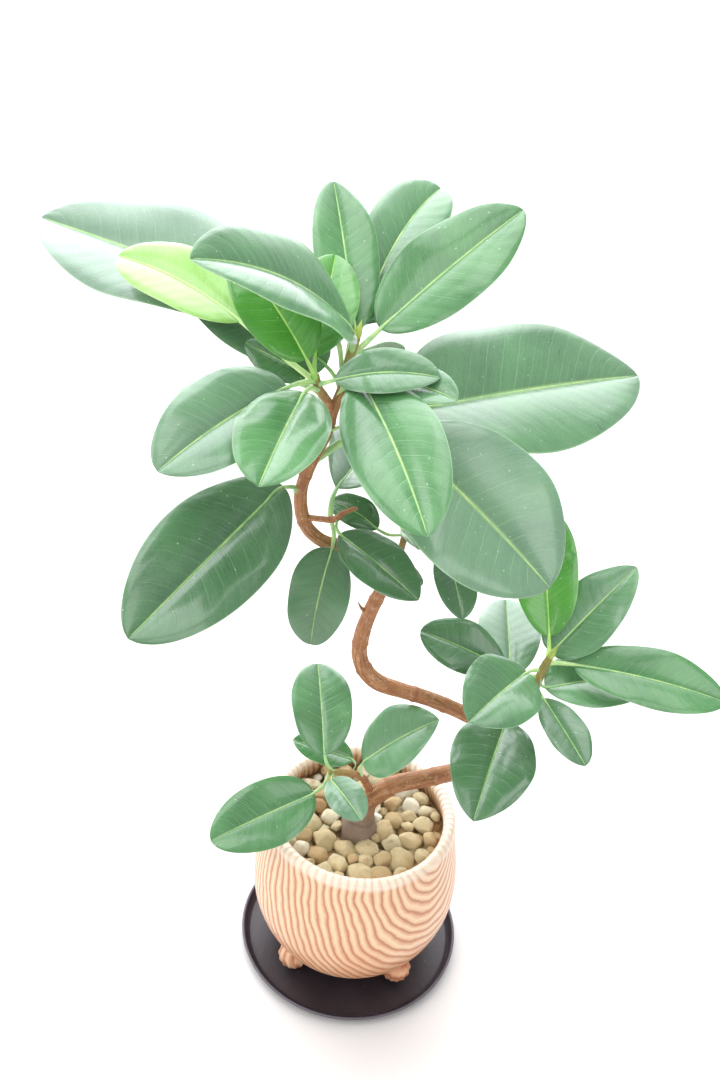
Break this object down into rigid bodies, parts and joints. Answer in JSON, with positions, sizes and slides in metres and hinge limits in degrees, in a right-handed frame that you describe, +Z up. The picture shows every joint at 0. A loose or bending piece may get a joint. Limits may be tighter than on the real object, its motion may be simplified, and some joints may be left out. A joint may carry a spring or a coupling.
{
  "type": "potted ficus",
  "caption": "Young ficus with a winding woody trunk and broad oval leaves, in a round-bellied ceramic pot topped with pebbles, standing on a shallow saucer.",
  "frame": {"origin": "centre of the saucer's underside, on the surface it stands on", "axes": "+Z up along the pot's axis, -Y towards the front, where the crown leans out, +X to the right, where the trunk bends out"},
  "size_m": [0.4099, 0.3123, 0.5099],
  "materials": {
    "saucer": "satin black",
    "glaze": "cream glaze with reddish-brown wavy grain",
    "screen": "matte mesh",
    "soil": "crumbly dark soil",
    "stone": "dry pebbles, tan and khaki",
    "bark": "smooth brown bark with pale pores",
    "bud": "waxy yellow-green scale",
    "leaf_lime": "glossy new leaf",
    "leaf_fresh": "glossy young leaf",
    "leaf_mature": "glossy grown leaf with pale margin",
    "leaf_dark": "glossy dark leaf with pale margin"
  },
  "bodies": {
    "root": {"saucer": "saucer", "pot": "glaze", "drain_screen": "screen", "soil": "soil", "gravel": "stone", "trunk": "bark", "left_fork": "bark", "side_twig": "bark", "back_twig": "bark", "right_branch": "bark", "low_twig": "bark", "leaf_top_far_left": "leaf_mature", "leaf_fork_left": "leaf_mature", "leaf_left_lime": "leaf_lime", "leaf_top_left_broad": "leaf_mature", "leaf_left_bright": "leaf_fresh", "leaf_left_upright": "leaf_fresh", "leaf_top_upright": "leaf_mature", "leaf_top_back": "leaf_mature", "leaf_top_back_right": "leaf_mature", "leaf_top_right": "leaf_mature", "leaf_top_small": "leaf_mature", "leaf_crown_right_long": "leaf_mature", "leaf_fork_front": "leaf_mature", "leaf_fork_right_broad": "leaf_mature", "leaf_fork_turned": "leaf_mature", "leaf_left_across": "leaf_mature", "leaf_left_low": "leaf_mature", "leaf_left_under": "leaf_mature", "leaf_left_round": "leaf_mature", "leaf_left_dark": "leaf_dark", "leaf_trunk_left_big": "leaf_dark", "leaf_twig_back": "leaf_mature", "leaf_twig_hanging": "leaf_dark", "leaf_twig_front": "leaf_dark", "leaf_back_blotched": "leaf_dark", "leaf_back_small": "leaf_mature", "leaf_back_tiny": "leaf_dark", "leaf_back_low": "leaf_dark", "leaf_right_inner": "leaf_dark", "leaf_right_back": "leaf_mature", "leaf_right_upright": "leaf_fresh", "leaf_right_raised": "leaf_mature", "leaf_right_far": "leaf_mature", "leaf_right_under": "leaf_mature", "leaf_right_front": "leaf_mature", "leaf_right_hanging": "leaf_dark", "leaf_bend_hanging": "leaf_dark", "leaf_low_upright": "leaf_mature", "leaf_low_right": "leaf_mature", "leaf_low_left": "leaf_mature", "leaf_low_front": "leaf_mature", "leaf_low_back": "leaf_mature", "bud_top": "bud", "bud_back": "bud", "bud_right": "bud"}
  },
  "joints": []
}
